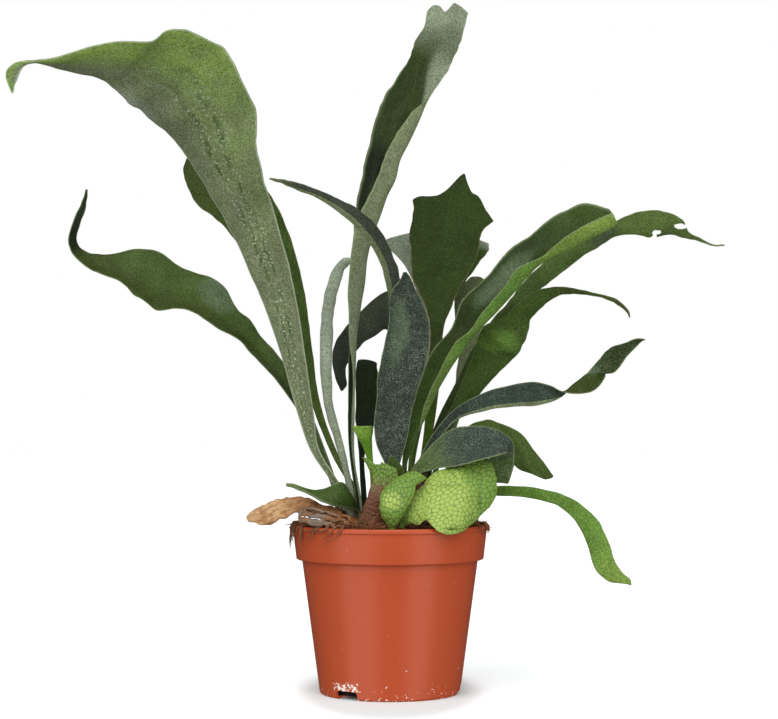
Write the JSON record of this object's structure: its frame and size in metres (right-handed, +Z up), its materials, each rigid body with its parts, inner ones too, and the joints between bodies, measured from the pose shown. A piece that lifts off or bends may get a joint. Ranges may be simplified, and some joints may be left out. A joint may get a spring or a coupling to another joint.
{
  "type": "staghorn fern in a nursery pot",
  "caption": "Potted staghorn fern with long forked strap fronds, net-veined shield fronds, dry roots and a banded plastic nursery pot.",
  "frame": {"origin": "middle of the pot's flat base, on the surface it stands on", "axes": "+Z up along the pot's axis; the side seen in the picture faces -Y"},
  "size_m": [0.4316, 0.1795, 0.434],
  "materials": {
    "pot_plastic": "satin moulded terracotta-coloured plastic",
    "potting_mix": "loose dark bark and fibre",
    "crown_scales": "dry brown papery scales",
    "root_fibre": "dry brown root fibre",
    "frond_dark": "leathery blue-green leaf with fine white hairs",
    "frond_green": "leathery green leaf",
    "frond_underside": "grey-green downy leaf underside",
    "frond_pale": "pale downy young leaf",
    "frond_bright": "fresh bright green leaf",
    "shield_green": "fresh green shield frond with a net of veins",
    "shield_turning": "shield frond turning from green to brown",
    "shield_dry": "dry papery brown shield frond",
    "shield_dead": "crinkled grey dead shield frond"
  },
  "bodies": {
    "root": {"pot": "pot_plastic", "potting_mix": "potting_mix", "crown_left": "crown_scales", "crown_centre": "crown_scales", "crown_right": "crown_scales", "root_fibres_left": "root_fibre", "root_fibres_right": "root_fibre", "frond_great_left": "frond_underside", "frond_behind_great": "frond_dark", "frond_low_left": "frond_green", "frond_young_rolled": "frond_pale", "frond_tall": "frond_green", "frond_arching": "frond_green", "frond_dark_front": "frond_dark", "frond_broad_upright": "frond_green", "frond_forked_back": "frond_underside", "frond_long_right": "frond_green", "frond_torn_right": "frond_green", "frond_folded_right": "frond_bright", "frond_twisted_right": "frond_dark", "frond_spoon": "frond_dark", "frond_drooping_right": "frond_green", "frond_low_right": "frond_bright", "frond_back_right": "frond_underside", "frond_back_left": "frond_dark", "frond_back_centre": "frond_dark", "frond_boat_left": "frond_green", "sprout_centre": "frond_bright", "sprout_front": "frond_bright", "shield_upright": "shield_turning", "shield_cupped": "shield_green", "shield_kidney": "shield_green", "shield_dry_left": "shield_dry", "shield_dead_scrap": "shield_dead"}
  },
  "joints": []
}
